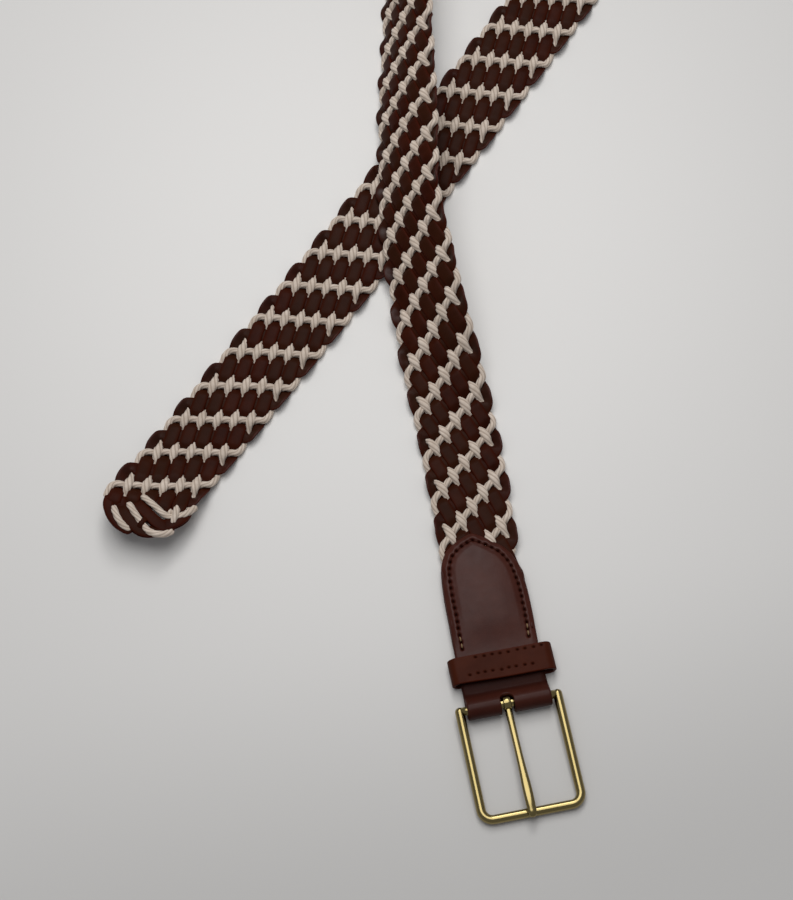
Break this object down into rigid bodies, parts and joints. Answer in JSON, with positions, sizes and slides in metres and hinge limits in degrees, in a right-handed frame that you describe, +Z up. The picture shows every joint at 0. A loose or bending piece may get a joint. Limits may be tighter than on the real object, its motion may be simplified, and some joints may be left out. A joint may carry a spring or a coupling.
{
  "type": "braided belt",
  "caption": "Flat braided belt of leather strips and cotton cords, unfastened, with a leather tab, flattened keeper, wire frame buckle and hinged prong.",
  "frame": {"origin": "on the surface the belt lies on, under the middle of the buckle tab, on the tab's flat underside", "axes": "+Z up, +Y from the buckle up the strap, +X to the strap's right seen from above; the buckle's bar lies along X"},
  "size_m": [0.2994, 0.5175, 0.0376],
  "materials": {
    "strip_leather": "smooth cut strips, soft sheen, redder along the cut edges",
    "cord_cotton": "matt twisted cotton cord, off-white",
    "tab_leather": "smooth, padded, semi-gloss, worn a little at the edges",
    "thread": "waxed sewing thread",
    "brass": "polished pale brass"
  },
  "bodies": {
    "strap": {"braided_band": "strip_leather", "buckle_tab": "tab_leather", "keeper": "tab_leather"},
    "frame": {"buckle_frame": "brass"},
    "prong": {"prong": "brass"}
  },
  "joints": [
    {"name": "frame_hinge", "type": "hinge", "parent": "strap", "child": "frame", "pos_m": [0, -0.0385, 0.0042], "axis": [-1, 0, 0], "range_deg": [-90, 25]},
    {"name": "prong_hinge", "type": "hinge", "parent": "frame", "child": "prong", "pos_m": [0, -0.0385, 0.0042], "axis": [-1, 0, 0], "range_deg": [0, 85]}
  ]
}
